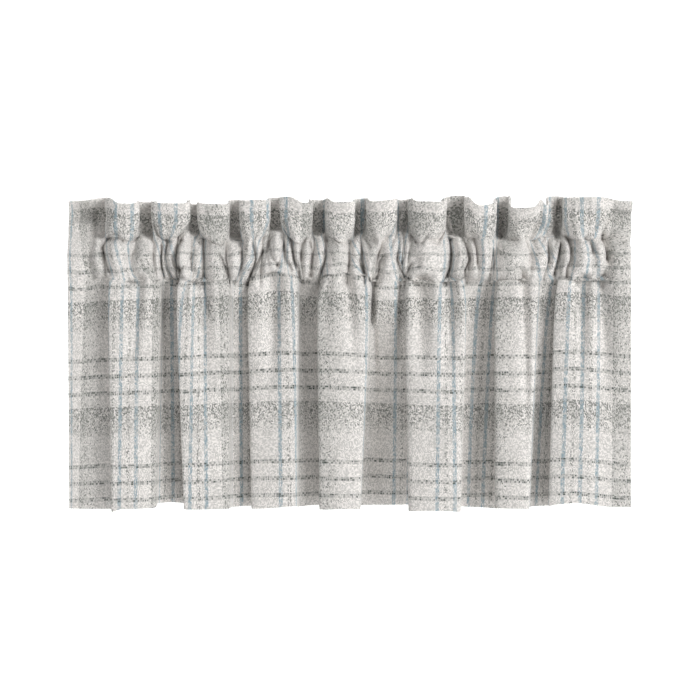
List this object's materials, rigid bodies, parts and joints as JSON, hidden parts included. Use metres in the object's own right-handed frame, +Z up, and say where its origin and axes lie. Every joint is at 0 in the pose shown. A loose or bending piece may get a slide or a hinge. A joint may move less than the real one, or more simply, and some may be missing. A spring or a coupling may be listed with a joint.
{
  "type": "window valance",
  "caption": "Gathered plaid window valance with an upright ruffle above an open rod pocket and a short drop in soft uneven folds",
  "frame": {"origin": "middle of the header's top edge, above the rod's axis", "axes": "+X along the rod to the viewer's right, -Y towards the room, +Z up"},
  "size_m": [0.66, 0.068, 0.3672],
  "materials": {
    "plaid_cloth": "matt tweedy plain weave in off-white with grey bands and pale blue stripes"
  },
  "bodies": {
    "root": {"heading": "plaid_cloth", "panel": "plaid_cloth"}
  },
  "joints": []
}
